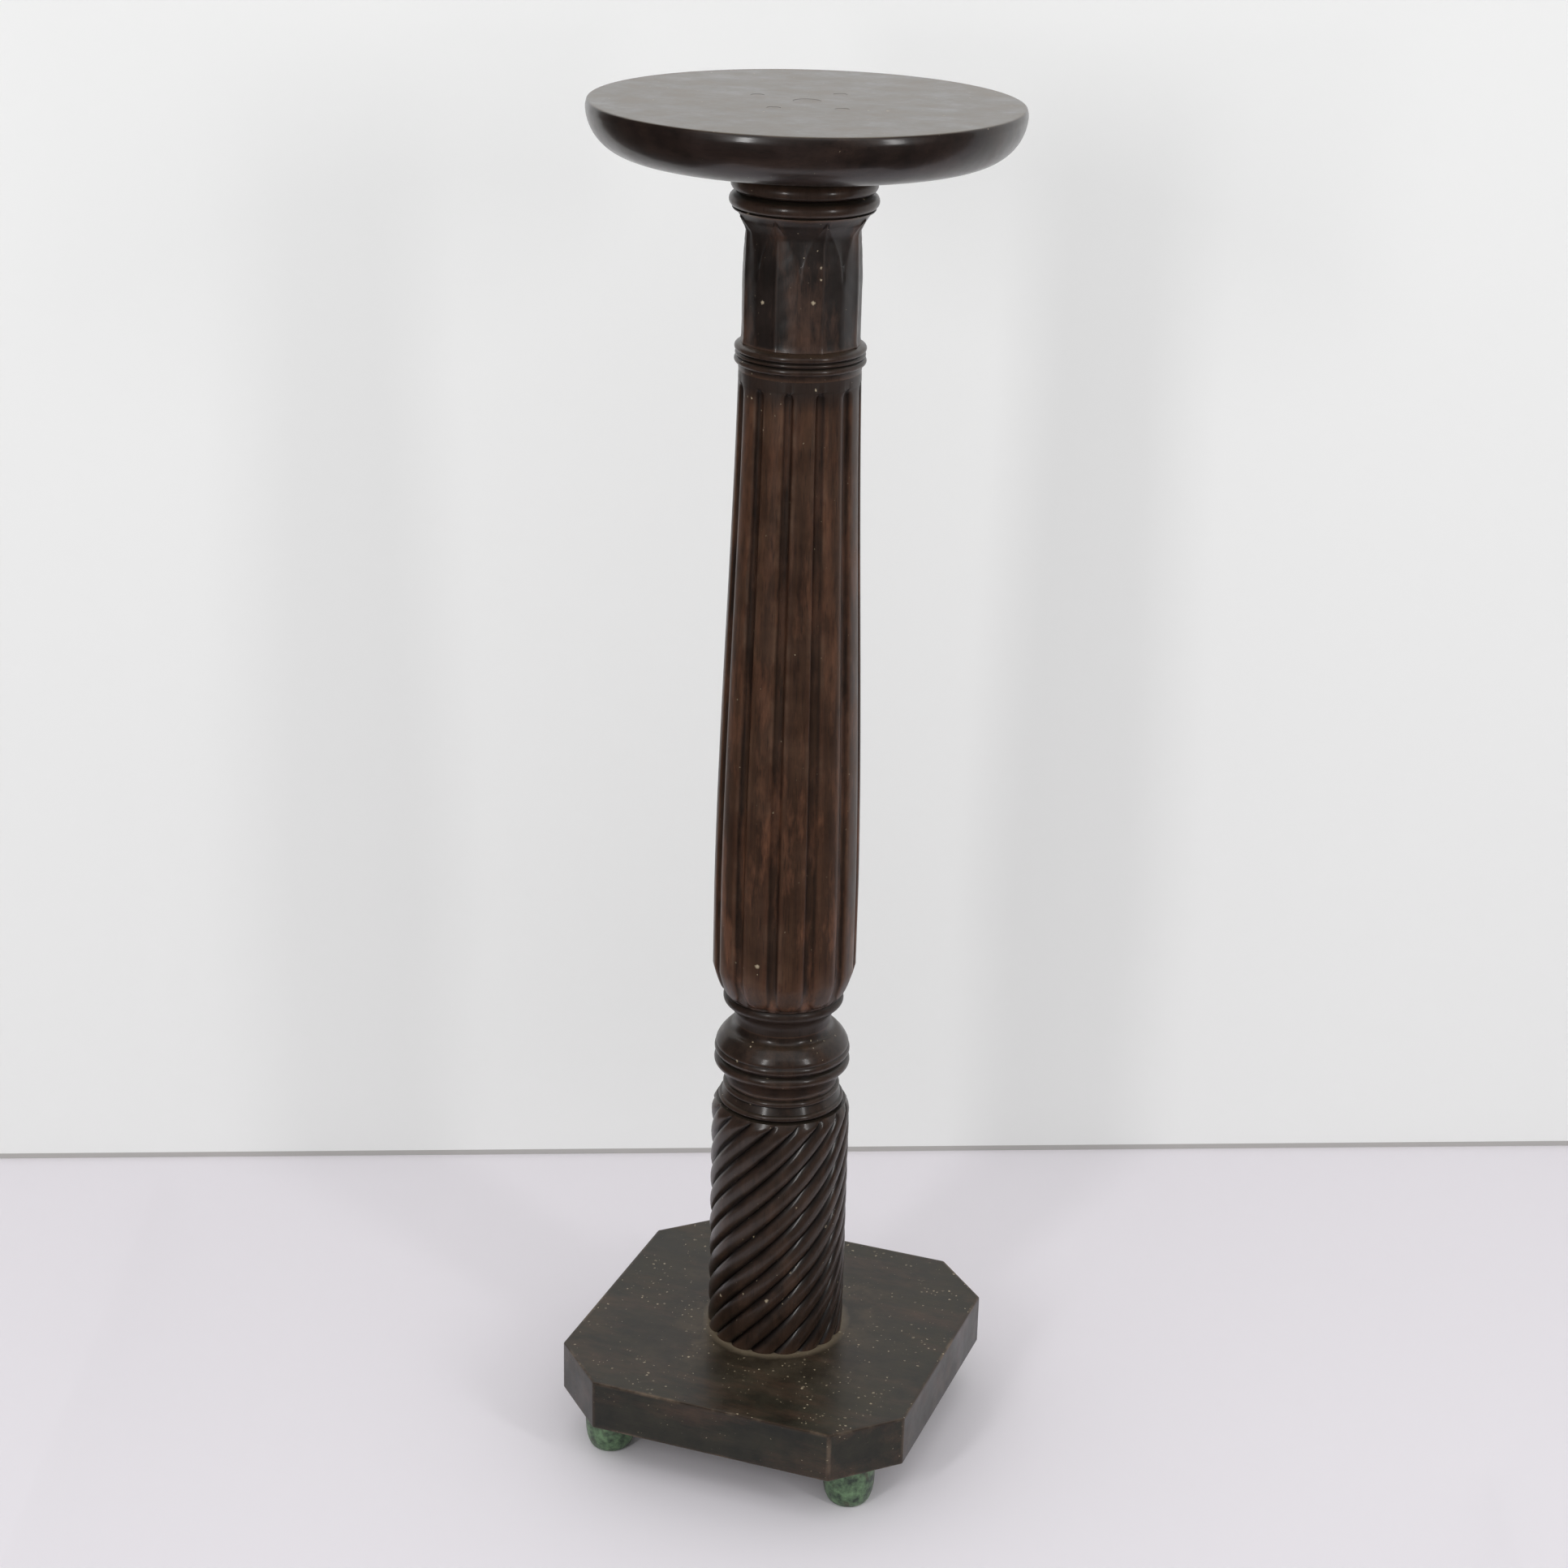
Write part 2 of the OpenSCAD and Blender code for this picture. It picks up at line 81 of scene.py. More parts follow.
def add_node(tree, kind, inputs=None, **settings):
    """Adds a node, sets its properties, and gives each input a number, a colour or a link."""
    node = tree.nodes.new(kind)
    for name, value in settings.items():
        setattr(node, name, value)
    for key, value in (inputs or {}).items():
        if isinstance(value, bpy.types.NodeSocket):
            tree.links.new(value, node.inputs[key])
        else:
            node.inputs[key].default_value = value
    return node


def new_finish(name):
    """An empty material with its node tree and its output node."""
    finish = bpy.data.materials.new(name)
    finish.use_nodes = True
    finish.node_tree.nodes.clear()
    return finish, finish.node_tree, add_node(finish.node_tree, "ShaderNodeOutputMaterial")


def maths(tree, operation, *numbers):
    """The result of one operation on numbers or links."""
    return add_node(tree, "ShaderNodeMath", dict(enumerate(numbers)), operation=operation).outputs[0]


def set_down():
    """Leaves edit mode and lets go of everything, because an operator acts on all that is selected."""
    if bpy.context.object and bpy.context.object.mode != "OBJECT":
        bpy.ops.object.mode_set(mode="OBJECT")
    bpy.ops.object.select_all(action="DESELECT")


def start_line(name, first):
    """A new piece that is a single point so far, left in edit mode to be extruded from."""
    set_down()
    bpy.ops.mesh.primitive_plane_add(size=mm)
    piece = bpy.context.object
    piece.name = name
    bpy.ops.object.mode_set(mode="EDIT")
    bpy.ops.mesh.merge(type="CENTER")
    bpy.ops.transform.translate(value=first)
    return piece


room_size = 9
wall_behind = 0.428
wall_turn = math.radians(4.23)
wall_shadow_height = 5
sheet_in_front = 0.4
sheet_to_side = 0.56
sheet_behind_left = 0.36
sheet_behind_right = -0.06
dark_room_half = 2.6
dark_room_height = 2.3
front = Vector((math.cos(camera_bearing), math.sin(camera_bearing), 0))


def one_sided_paint(name, shade, roughness):
    """A dull paint that is seen from the front of a face alone, so that it hides nothing in other views."""
    paint, tree, output = new_finish(name)
    shader = add_node(tree, "ShaderNodeBsdfPrincipled", {
        "Base Color": colour(shade),
        "Roughness": roughness,
    })
    side = add_node(tree, "ShaderNodeNewGeometry")
    see_through = add_node(tree, "ShaderNodeBsdfTransparent")
    mix = add_node(tree, "ShaderNodeMixShader", {
        0: side.outputs["Backfacing"],
        1: shader.outputs[0],
        2: see_through.outputs[0],
    })
    tree.links.new(mix.outputs[0], output.inputs["Surface"])
    return paint


set_down()
bpy.ops.mesh.primitive_plane_add(size=room_size)
floor = bpy.context.object
floor.name = "floor"
floor.data.materials.append(one_sided_paint("white_floor_sheet", "#efeaf0", 0.6))

set_down()
bpy.ops.mesh.primitive_plane_add(size=room_size)
wall = bpy.context.object
wall.name = "wall"
wall.rotation_euler = (math.pi / 2, 0, camera_bearing + math.pi / 2 + wall_turn)
wall.location = -wall_behind * front + Vector((0, 0, room_size / 2))
wall.data.materials.append(one_sided_paint("white_wall_paint", "#f0f0ef", 0.6))

# A narrow grey strip is a painted shadow where the sheet meets the wall
set_down()
bpy.ops.mesh.primitive_plane_add(size=room_size)
wall_foot_shadow_strip = bpy.context.object
wall_foot_shadow_strip.name = "wall_foot_painted_shadow"
wall_foot_shadow_strip.scale = (1, wall_shadow_height * mm / room_size, 1)
wall_foot_shadow_strip.rotation_euler = wall.rotation_euler
wall_foot_shadow_strip.location = (mm - wall_behind) * front + Vector((0, 0, wall_shadow_height / 2 * mm))
wall_foot_shadow_strip.data.materials.append(one_sided_paint("wall_foot_shadow", "#b3b0ae", 0.8))

# The dark room round the sheet glows dimly and is seen in the varnish alone, as a painted reflection:
# its walls follow this line, and it has a floor
set_down()
dark_line = [Vector((x, y, 2 * mm)) for x, y in (
    (-sheet_to_side, sheet_behind_left),
    (-sheet_to_side, -sheet_in_front),
    (-dark_room_half, -sheet_in_front),
    (-dark_room_half, -dark_room_half),
    (dark_room_half, -dark_room_half),
    (dark_room_half, -sheet_in_front),
    (sheet_to_side, -sheet_in_front),
    (sheet_to_side, sheet_behind_right),
)]
dark_room = start_line("dark_room", dark_line[0])
for near, far in zip(dark_line, dark_line[1:]):
    bpy.ops.mesh.extrude_region_move(TRANSFORM_OT_translate={"value": far - near})
bpy.ops.mesh.select_all(action="SELECT")
bpy.ops.mesh.extrude_region_move(TRANSFORM_OT_translate={"value": (0, 0, dark_room_height)})
bpy.ops.mesh.select_all(action="DESELECT")
mesh = bmesh.from_edit_mesh(dark_room.data)
for point in mesh.verts:
    x, y, z = point.co
    point.select_set(z < dark_room_height / 2 and y < 0 and abs(x) > sheet_to_side * 2)
bpy.ops.mesh.edge_face_add()
bpy.ops.object.mode_set(mode="OBJECT")
dark_room.rotation_euler = (0, 0, camera_bearing + math.pi / 2)
dark_room.visible_camera = False
dark_room.visible_diffuse = False
dark_room.visible_shadow = False
# The dark room glows dimly and lights nothing: it paints dark reflections in the varnish alone
dark_reflection_glow, tree, output = new_finish("dark_room_painted_reflection")
dark_reflection_shader = add_node(tree, "ShaderNodeEmission", {"Color": colour("#33302d"), "Strength": 1})
tree.links.new(dark_reflection_shader.outputs[0], output.inputs["Surface"])
dark_room.data.materials.append(dark_reflection_glow)

room = bpy.data.worlds.new("pale_room")
scene.world = room
room.use_nodes = True
tree = room.node_tree
tree.nodes.clear()
rays = add_node(tree, "ShaderNodeLightPath")
seen_or_mirrored = maths(tree, "MAXIMUM", rays.outputs["Is Camera Ray"], rays.outputs["Is Glossy Ray"])
seen = maths(tree, "MAXIMUM", seen_or_mirrored, rays.outputs["Is Transmission Ray"])
room_light = add_node(tree, "ShaderNodeBackground", {"Color": colour("#e9ebea"), "Strength": 0.98})
room_seen = add_node(tree, "ShaderNodeBackground", {"Color": colour("#e6e6e5"), "Strength": 1})
room_mix = add_node(tree, "ShaderNodeMixShader", {
    0: seen,
    1: room_light.outputs[0],
    2: room_seen.outputs[0],
})
add_node(tree, "ShaderNodeOutputWorld", {"Surface": room_mix.outputs[0]})


def tall_lamp(name, bearing, power, distance=2, middle=1.35, width=0.2, height=0.9):
    """A tall soft lamp that faces the column, like a window, its bearing counted from the camera's."""
    lamp = bpy.data.objects.new(name, bpy.data.lights.new(name, "AREA"))
    lamp.data.shape = "RECTANGLE"
    lamp.data.size = width
    lamp.data.size_y = height
    lamp.data.energy = power
    scene.collection.objects.link(lamp)
    angle = camera_bearing + math.radians(bearing)
    lamp.location = (distance * math.cos(angle), distance * math.sin(angle), middle)
    lamp.rotation_euler = (math.pi / 2, 0, angle + math.pi / 2)


tall_lamp("lamp_left", -30, 10.5)
tall_lamp("lamp_right", 44, 8)


# Bun feet: four squat turned feet of beech, each with a pin that is glued into the plinth.
# They were brushed with a mottled green paint, which has worn through in spots.
plinth_z = 38
foot_at = 98
foot_r = 20
foot_flat_r = 13.5
foot_top_r = 17.5
foot_crest_h = 23.6
foot_pin_r = 8
foot_pin_l = 22


def close_skin(piece):
    """Joins the seams and poles of a piece in edit mode, fills its ends and turns its faces outwards."""
    bpy.ops.mesh.select_all(action="SELECT")
    bpy.ops.mesh.remove_doubles(threshold=0.02 * mm)
    bpy.ops.mesh.fill_holes(sides=0)
    bpy.ops.mesh.normals_make_consistent(inside=False)
    bpy.ops.object.mode_set(mode="OBJECT")


def turn_piece(name, outline, steps=96):
    """Turns an outline of radius and height points, in millimetres, about the Z axis."""
    points = [Vector((radius * mm, 0, height * mm)) for radius, height in outline]
    piece = start_line(name, points[0])
    for near, far in zip(points, points[1:]):
        bpy.ops.mesh.extrude_region_move(TRANSFORM_OT_translate={"value": far - near})
    bpy.ops.mesh.select_all(action="SELECT")
    bpy.ops.mesh.spin(steps=steps, angle=math.tau, center=(0, 0, 0), axis=(0, 0, 1))
    close_skin(piece)
    return piece


def arc(middle_r, middle_z, radius, start, stop, steps=10):
    """Points of an arc in an outline, from one angle in degrees to another."""
    angles = [math.radians(start + (stop - start) * i / steps) for i in range(steps + 1)]
    return [(middle_r + radius * math.cos(a), middle_z + radius * math.sin(a)) for a in angles]


def pick(piece):
    """Makes a piece the only one that the next operator acts on."""
    set_down()
    piece.select_set(True)
    bpy.context.view_layer.objects.active = piece


def move_points(piece, x, y):
    """Moves all the points of a piece sideways by millimetres, and leaves its origin where it is."""
    pick(piece)
    bpy.ops.object.mode_set(mode="EDIT")
    bpy.ops.mesh.select_all(action="SELECT")
    bpy.ops.transform.translate(value=(x * mm, y * mm, 0))
    bpy.ops.object.mode_set(mode="OBJECT")


def shade_smooth(degrees):
    """Shades the active piece smooth, apart from the edges that bend by more than an angle."""
    bpy.ops.object.shade_smooth_by_angle(angle=math.radians(degrees))


def apply_modifier(piece, kind, **settings):
    """Adds a modifier to a piece and applies it."""
    pick(piece)
    modifier = piece.modifiers.new("shaping", kind)
    for name, value in settings.items():
        setattr(modifier, name, value)
    bpy.ops.object.modifier_apply(modifier=modifier.name)


def soften(piece, edge, angle=32):
    """Breaks the sharp edges by a few tenths of a millimetre, as sanding does, and shades smooth."""
    apply_modifier(piece, "BEVEL", width=edge * mm, segments=2, limit_method="ANGLE",
                   angle_limit=math.radians(angle), use_clamp_overlap=True)
    shade_smooth(angle)
    apply_modifier(piece, "WEIGHTED_NORMAL", keep_sharp=True)


def unevenness(piece, depth, spacing, seed):
    """Sinks the surface here and there, never outwards, as hand work and wear leave it."""
    hollows = bpy.data.textures.new(piece.name + "_hollows", "CLOUDS")
    hollows.noise_scale = spacing * mm
    hollows.noise_depth = 2
    helper = bpy.data.objects.new(piece.name + "_seed", None)
    scene.collection.objects.link(helper)
    helper.location = (seed * 0.31, seed * 0.17, seed * 0.23)
    apply_modifier(piece, "DISPLACE", texture=hollows, texture_coords="OBJECT", texture_coords_object=helper,
                   mid_level=1, strength=depth * mm, direction="NORMAL")
    bpy.data.objects.remove(helper)


below_crest = [math.radians(9 * i) for i in range(10)]
above_crest = [math.radians(15 * i) for i in range(7)]
foot_outline = (
    [(0, 0)]
    + [(foot_flat_r + (foot_r - foot_flat_r) * math.sin(a), foot_crest_h * (1 - math.cos(a)))
       for a in below_crest]
    + [(foot_top_r + (foot_r - foot_top_r) * math.cos(a),
        foot_crest_h + (plinth_z - foot_crest_h) * math.sin(a)) for a in above_crest]
    + [(foot_pin_r, plinth_z), (foot_pin_r, plinth_z + foot_pin_l - 0.5)]
    + [(foot_pin_r - 0.6, plinth_z + foot_pin_l), (0, plinth_z + foot_pin_l)]
)
first_foot = turn_piece("bun_foot_front_left", foot_outline, steps=48)
soften(first_foot, 0.4)
unevenness(first_foot, 0.5, 9, 1)
feet = [first_foot]
for side in ("front_right", "back_left", "back_right"):
    pick(first_foot)
    bpy.ops.object.duplicate()
    bpy.context.object.name = "bun_foot_" + side
    feet.append(bpy.context.object)


def noise(tree, place, scale, detail=2, roughness=0.5, distortion=0):
    """Cloudy noise, at a number of clouds to one unit of its place."""
    return add_node(tree, "ShaderNodeTexNoise", {
        "Vector": place,
        "Scale": scale,
        "Detail": detail,
        "Roughness": roughness,
        "Distortion": distortion,
    })


def ranged(tree, value, start, stop, low=0, high=1):
    """A share that goes from low to high while a value goes from start to stop."""
    return add_node(tree, "ShaderNodeMapRange", {
        "Value": value,
        "From Min": start,
        "From Max": stop,
        "To Min": low,
        "To Max": high,
    }).outputs[0]


def blend(tree, share, under, over):
    """Two colours, of which the second lies over the first by a share."""
    mix = add_node(tree, "ShaderNodeMix", {"Factor": share, "A": under, "B": over}, data_type="RGBA")
    return mix.outputs["Result"]


# Brushed oil paint: green mottling of 6 mm, brown wood in worn spots, low gloss
green_paint, tree, output = new_finish("green_brushed_paint")
place = add_node(tree, "ShaderNodeTexCoord").outputs["Object"]
mottling = noise(tree, place, 1000 / 6, detail=4, roughness=0.6).outputs["Fac"]
wear = noise(tree, place, 1000 / 11, detail=5, roughness=0.7).outputs["Fac"]
paint_colour = blend(tree, ranged(tree, mottling, 0.34, 0.68), colour("#1d2c20"), colour("#63805c"))
foot_colour = blend(tree, ranged(tree, wear, 0.56, 0.64, high=0.8), paint_colour, colour("#3a3427"))
brush_marks = add_node(tree, "ShaderNodeBump", {
    "Height": mottling,
    "Strength": 0.5,
    "Distance": 0.4 * mm,
})
green_shader = add_node(tree, "ShaderNodeBsdfPrincipled", {
    "Base Color": foot_colour,
    "Roughness": 0.42,
    "Coat Weight": 0.15,
    "Coat Roughness": 0.2,
    "Normal": brush_marks.outputs[0],
})
tree.links.new(green_shader.outputs[0], output.inputs["Surface"])

for foot in feet:
    side = foot.name.replace("bun_foot_", "")
    x = foot_at if "right" in side else -foot_at
    y = foot_at if "back" in side else -foot_at
    move_points(foot, x, y)
    foot.data.materials.append(green_paint)
    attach(foot, "root")
    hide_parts("foot_" + side)


# Plinth: one thick square board of mahogany with its corners sawn off and its upper edge worn round.
# The tenon of the column goes through its middle and is wedged from below.
spiral_z = 78
plinth_w = 279
plinth_cant = 44
plinth_arris = 1.2
plinth_border = 3
tenon_hole_r = 19.1
foot_pin_hole_r = 8.1
foot_pin_hole_l = 22.8

set_down()
bpy.ops.mesh.primitive_cube_add(size=1, location=(0, 0, 0))
plinth = bpy.context.object
plinth.name = "canted_plinth"
bpy.ops.object.mode_set(mode="EDIT")
bpy.ops.transform.resize(value=(plinth_w * mm, plinth_w * mm, (spiral_z - plinth_z) * mm))
bpy.ops.transform.translate(value=(0, 0, (spiral_z + plinth_z) / 2 * mm))
mesh = bmesh.from_edit_mesh(plinth.data)
for edge in mesh.edges:
    edge.select_set(False)
for edge in mesh.edges:
    if (edge.verts[0].co - edge.verts[1].co).to_2d().length < mm:
        edge.select_set(True)
bpy.ops.mesh.bevel(offset=plinth_cant * mm, segments=1, affect="EDGES")
bpy.ops.mesh.select_all(action="SELECT")
bpy.ops.mesh.normals_make_consistent(inside=False)
bpy.ops.mesh.inset(thickness=plinth_border * mm, use_individual=True)
bpy.ops.object.mode_set(mode="OBJECT")


def cutter(name, radius, low, high, places):
    """Round bars of one size, as one piece that is cut out of another."""
    set_down()
    bars = []
    for x, y in places:
        bpy.ops.mesh.primitive_cylinder_add(vertices=48, radius=radius * mm, depth=(high - low) * mm,
                                            location=(x * mm, y * mm, (low + high) / 2 * mm))
        bars.append(bpy.context.object)
    for bar in bars:
        bar.select_set(True)
    bpy.ops.object.join()
    bpy.context.object.name = name
    return bpy.context.object


def drill(piece, bar):
    """Cuts a bar out of a piece, and throws the bar away."""
    apply_modifier(piece, "BOOLEAN", operation="DIFFERENCE", solver="EXACT", object=bar)
    bpy.data.objects.remove(bar)


drill(plinth, cutter("tenon_hole", tenon_hole_r, plinth_z - 1, spiral_z + 1, [(0, 0)]))
drill(plinth, cutter("foot_pin_holes", foot_pin_hole_r, plinth_z - 1, plinth_z + foot_pin_hole_l,
                     [(x, y) for x in (-foot_at, foot_at) for y in (-foot_at, foot_at)]))
soften(plinth, plinth_arris)

# Colours that the woods share: dark in the pores and the necks, dark in the hollows for grime and painted
# shade, and pale where worn or soiled
pore_colour = "#120d0b"
hollow_grime_and_shade_colour = "#0d0908"
neck_colour = "#2a211d"
dust_colour = "#958670"
bare_colour = "#867462"
speck_colour = "#a5977f"


def stretched(tree, place, sizes, shift=(0, 0, 0)):
    """Places for a noise whose clouds have their own size in millimetres along each axis."""
    return add_node(tree, "ShaderNodeMapping", {
        "Vector": place,
        "Location": shift,
        "Scale": [1000 / size for size in sizes],
    }).outputs[0]


def wood_finish(name, figure_size, pore_size, shades, worn, figure=0.5, patches=0.5, specks=0.5, dust=0.1,
                gloss=0.3, coat=0.3, mirror=0.4, knocks=0.5, chips=(), rubbed_heights=None, dust_ring=None):
    """Old varnished wood: figure and pores along the grain, worn ridges, grime and painted shade in hollows,
    dust.

    Sizes are in millimetres along X, Y and Z. The shades are a dark and a light sRGB colour of the wood.
    It is rubbed between two heights alone, and dust rings the axis between two radii, where these are given.
    A chip is a place and a size.
    """
    finish, tree, output = new_finish(name)
    place = add_node(tree, "ShaderNodeTexCoord").outputs["Object"]
    axes = add_node(tree, "ShaderNodeSeparateXYZ", {"Vector": place})
    shape = add_node(tree, "ShaderNodeNewGeometry")
    sharpness = shape.outputs["Pointiness"]
    upward = add_node(tree, "ShaderNodeSeparateXYZ", {"Vector": shape.outputs["Normal"]}).outputs["Z"]
    cloud = noise(tree, place, 1000 / 30, detail=4, roughness=0.65).outputs["Fac"]

    # Figure of the grain, and clouds of 30 mm, between the two shades
    figure_place = stretched(tree, place, figure_size)
    grain = noise(tree, figure_place, 1, detail=5, roughness=0.6, distortion=0.4).outputs["Fac"]
    figure_mix = add_node(tree, "ShaderNodeMix", {
        "Factor": figure,
        "A": cloud,
        "B": grain,
    }, data_type="FLOAT")
    figure_share = ranged(tree, figure_mix.outputs["Result"], 0.36, 0.64)
    wood_colour = blend(tree, figure_share, colour(shades[0]), colour(shades[1]))

    # Patches where the stain has gone, and ridges that hands have rubbed, more so towards the lower height
    patch_place = stretched(tree, place, [8 * size ** 0.5 for size in figure_size], (0.3, 0.5, 0.2))
    patch = noise(tree, patch_place, 1, detail=5, roughness=0.7).outputs["Fac"]
    patch_share = ranged(tree, patch, 0.47, 0.7, high=patches)
    rubbed = maths(tree, "MAXIMUM", patch_share, ranged(tree, sharpness, 0.51, 0.57, high=0.5))
    neck_share = 0.0
    if rubbed_heights:
        low, high = rubbed_heights
        above = ranged(tree, axes.outputs["Z"], (low - 6) * mm, (low + 2) * mm)
        below = ranged(tree, axes.outputs["Z"], (high + 6) * mm, (high - 8) * mm)
        within = maths(tree, "MULTIPLY", above, below)
        lower = ranged(tree, axes.outputs["Z"], high * mm, low * mm, 0.5, 1.4)
        rubbed = maths(tree, "MULTIPLY", rubbed, maths(tree, "MULTIPLY", within, lower))
        neck_share = maths(tree, "MULTIPLY_ADD", within, -0.85, 0.85)
    worn_colour = blend(tree, rubbed, wood_colour, colour(worn))
    stained_colour = blend(tree, neck_share, worn_colour, colour(neck_colour))

    # Pores are short dark strokes along the grain
    pore_place = stretched(tree, place, pore_size)
    pore_share = ranged(tree, noise(tree, pore_place, 1).outputs["Fac"], 0.56, 0.74, high=0.55)
    pored_colour = blend(tree, pore_share, stained_colour, colour(pore_colour))

    # Old wax and grime stay in the hollows, and painted shade darkens them further
    hollow = add_node(tree, "ShaderNodeAmbientOcclusion", {"Distance": 9 * mm}, samples=6, only_local=True)
    grime_and_shade_share = ranged(tree, hollow.outputs["AO"], 0.96, 0.66, high=0.92)
    grime_and_shaded_colour = blend(tree, grime_and_shade_share, pored_colour, colour(hollow_grime_and_shade_colour))

    # Dust lies in a cloudy film on the faces that look up, and in a ragged ring
    film = ranged(tree, upward, 0.6, 0.98, high=dust)
    dust_share = maths(tree, "MULTIPLY", film, ranged(tree, cloud, 0.3, 0.7, low=0.3))
    if dust_ring:
        inner, outer = dust_ring
        x_square = maths(tree, "POWER", axes.outputs["X"], 2)
        square = maths(tree, "MULTIPLY_ADD", axes.outputs["Y"], axes.outputs["Y"], x_square)
        ragged_radius = maths(tree, "MULTIPLY_ADD", cloud, 12 * mm, maths(tree, "SQRT", square))
        ring = ranged(tree, ragged_radius, (outer + 6) * mm, (inner + 6) * mm, high=0.5)
        dust_share = maths(tree, "MAXIMUM", dust_share, ring)
    dusty_colour = blend(tree, dust_share, grime_and_shaded_colour, colour(dust_colour))

    # The varnish is knocked off along the edges, here and there
    edge = ranged(tree, sharpness, 0.52, 0.57, high=knocks)
    knocked = maths(tree, "MULTIPLY", edge, ranged(tree, cloud, 0.47, 0.62))
    if rubbed_heights:
        knocked = maths(tree, "MULTIPLY", knocked, within)
    knocked_colour = blend(tree, knocked, dusty_colour, colour(bare_colour))

    # Pale specks of old paint, of ragged outline, up to 2 mm wide and in swarms
    raggedness = 1.4
    ragged_place = noise(tree, place, 1000 / 1.8, detail=3, roughness=0.6)
    speck_place = add_node(tree, "ShaderNodeVectorMath", {
        0: ragged_place.outputs["Color"],
        1: [2 * raggedness * mm] * 3,
        2: place,
    }, operation="MULTIPLY_ADD").outputs[0]
    cells = add_node(tree, "ShaderNodeTexVoronoi", {"Vector": speck_place, "Scale": 1000 / 4})
    chance = add_node(tree, "ShaderNodeSeparateColor", {"Color": cells.outputs["Color"]})
    lying = ranged(tree, upward, 0.2, 0.9, low=0.5)
    swarm = maths(tree, "MULTIPLY", lying, ranged(tree, cloud, 0.38, 0.6, low=0.3))
    speck_size = maths(tree, "MULTIPLY", ranged(tree, chance.outputs["Red"], 1 - specks, 1, high=0.3), swarm)
    speck = maths(tree, "LESS_THAN", cells.outputs["Distance"], speck_size)
    mark_share = maths(tree, "MULTIPLY", speck, chance.outputs["Green"])
    for x, y, z, size in chips:
        reach = add_node(tree, "ShaderNodeVectorMath", {
            0: speck_place,
            1: [(v + raggedness) * mm for v in (x, y, z)],
        }, operation="DISTANCE")
        chip = ranged(tree, reach.outputs["Value"], 1.1 * size * mm, 0.5 * size * mm, high=0.85)
        mark_share = maths(tree, "MAXIMUM", chip, mark_share)
    specked_colour = blend(tree, mark_share, knocked_colour, colour(speck_colour))

    # The varnish is duller where it is dusty, and is never quite flat
    dullness = ranged(tree, cloud, 0.3, 0.7, gloss - 0.05, gloss + 0.1)
    roughness = maths(tree, "MULTIPLY_ADD", dust_share, 0.35, dullness)
    pore_bump = add_node(tree, "ShaderNodeBump", {
        "Height": pore_share,
        "Strength": 0.15,
        "Distance": 0.08 * mm,
    }, invert=True)
    wave_bump = add_node(tree, "ShaderNodeBump", {
        "Height": noise(tree, place, 1000 / 16, detail=1).outputs["Fac"],
        "Strength": 0.5,
        "Distance": 0.3 * mm,
        "Normal": pore_bump.outputs[0],
    })
    shader = add_node(tree, "ShaderNodeBsdfPrincipled", {
        "Base Color": specked_colour,
        "Roughness": roughness,
        "Specular IOR Level": mirror,
        "Coat Weight": coat,
        "Coat Roughness": 0.15,
        "Normal": wave_bump.outputs[0],
        "Coat Normal": wave_bump.outputs[0],
    })
    tree.links.new(shader.outputs[0], output.inputs["Surface"])
    return finish


# Old varnished mahogany, faded to an olive brown, its grain along X, with many specks and much dust
plinth_wood = wood_finish(
    "plinth_varnished_mahogany", figure_size=(90, 9, 9), pore_size=(14, 0.9, 0.9),
    shades=("#14140f", "#29271d"), worn="#49352a", figure=0.3, patches=0.65, specks=1, dust=0.07,
    gloss=0.33, coat=0.1, mirror=0.27, knocks=0.5, dust_ring=(53, 60),
)
plinth.data.materials.append(plinth_wood)
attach(plinth, "root")
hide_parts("plinth")


# Rope twist: the lowest part of the column, turned to a drum and carved by hand into seventeen strands.
# A moulded head is turned above the strands, and a tenon below goes through the plinth.
head_z = 275
knop_z = 293
neck_r = 42.2
spiral_r = 53
tenon_r = 19
strands = 17
strand_lead = 340
strand_start = 4
strand_depths = [3.4, 1.3, 0.5, 0.12, 0, 0.12, 0.5, 1.3, 3.4]
waist_pin_hole_r = 13.1
waist_pin_hole_l = 45.8


def lay_row(piece, here, there):
    """Extrudes the selected row of points and moves each new point from its old place to its new one.

    The places are in millimetres, and each point is known by its place, because an extrude reorders them.
    """
    bpy.ops.mesh.extrude_region_move()
    mesh = bmesh.from_edit_mesh(piece.data)
    mesh.verts.index_update()
    row = [point for point in mesh.verts if point.select]
    order = []
    for place in here:
        nearest = min(row, key=lambda point: (point.co - Vector(place) * mm).length)
        row.remove(nearest)
        order.append(nearest.index)
    for index, place in zip(order, there):
        bpy.ops.mesh.select_all(action="DESELECT")
        mesh = bmesh.from_edit_mesh(piece.data)
        mesh.verts.ensure_lookup_table()
        moved = mesh.verts[index]
        moved.select = True
        bpy.ops.transform.translate(value=Vector(place) * mm - moved.co)
    mesh = bmesh.from_edit_mesh(piece.data)
    mesh.verts.ensure_lookup_table()
    for index in order:
        mesh.verts[index].select = True
    mesh.select_flush_mode()


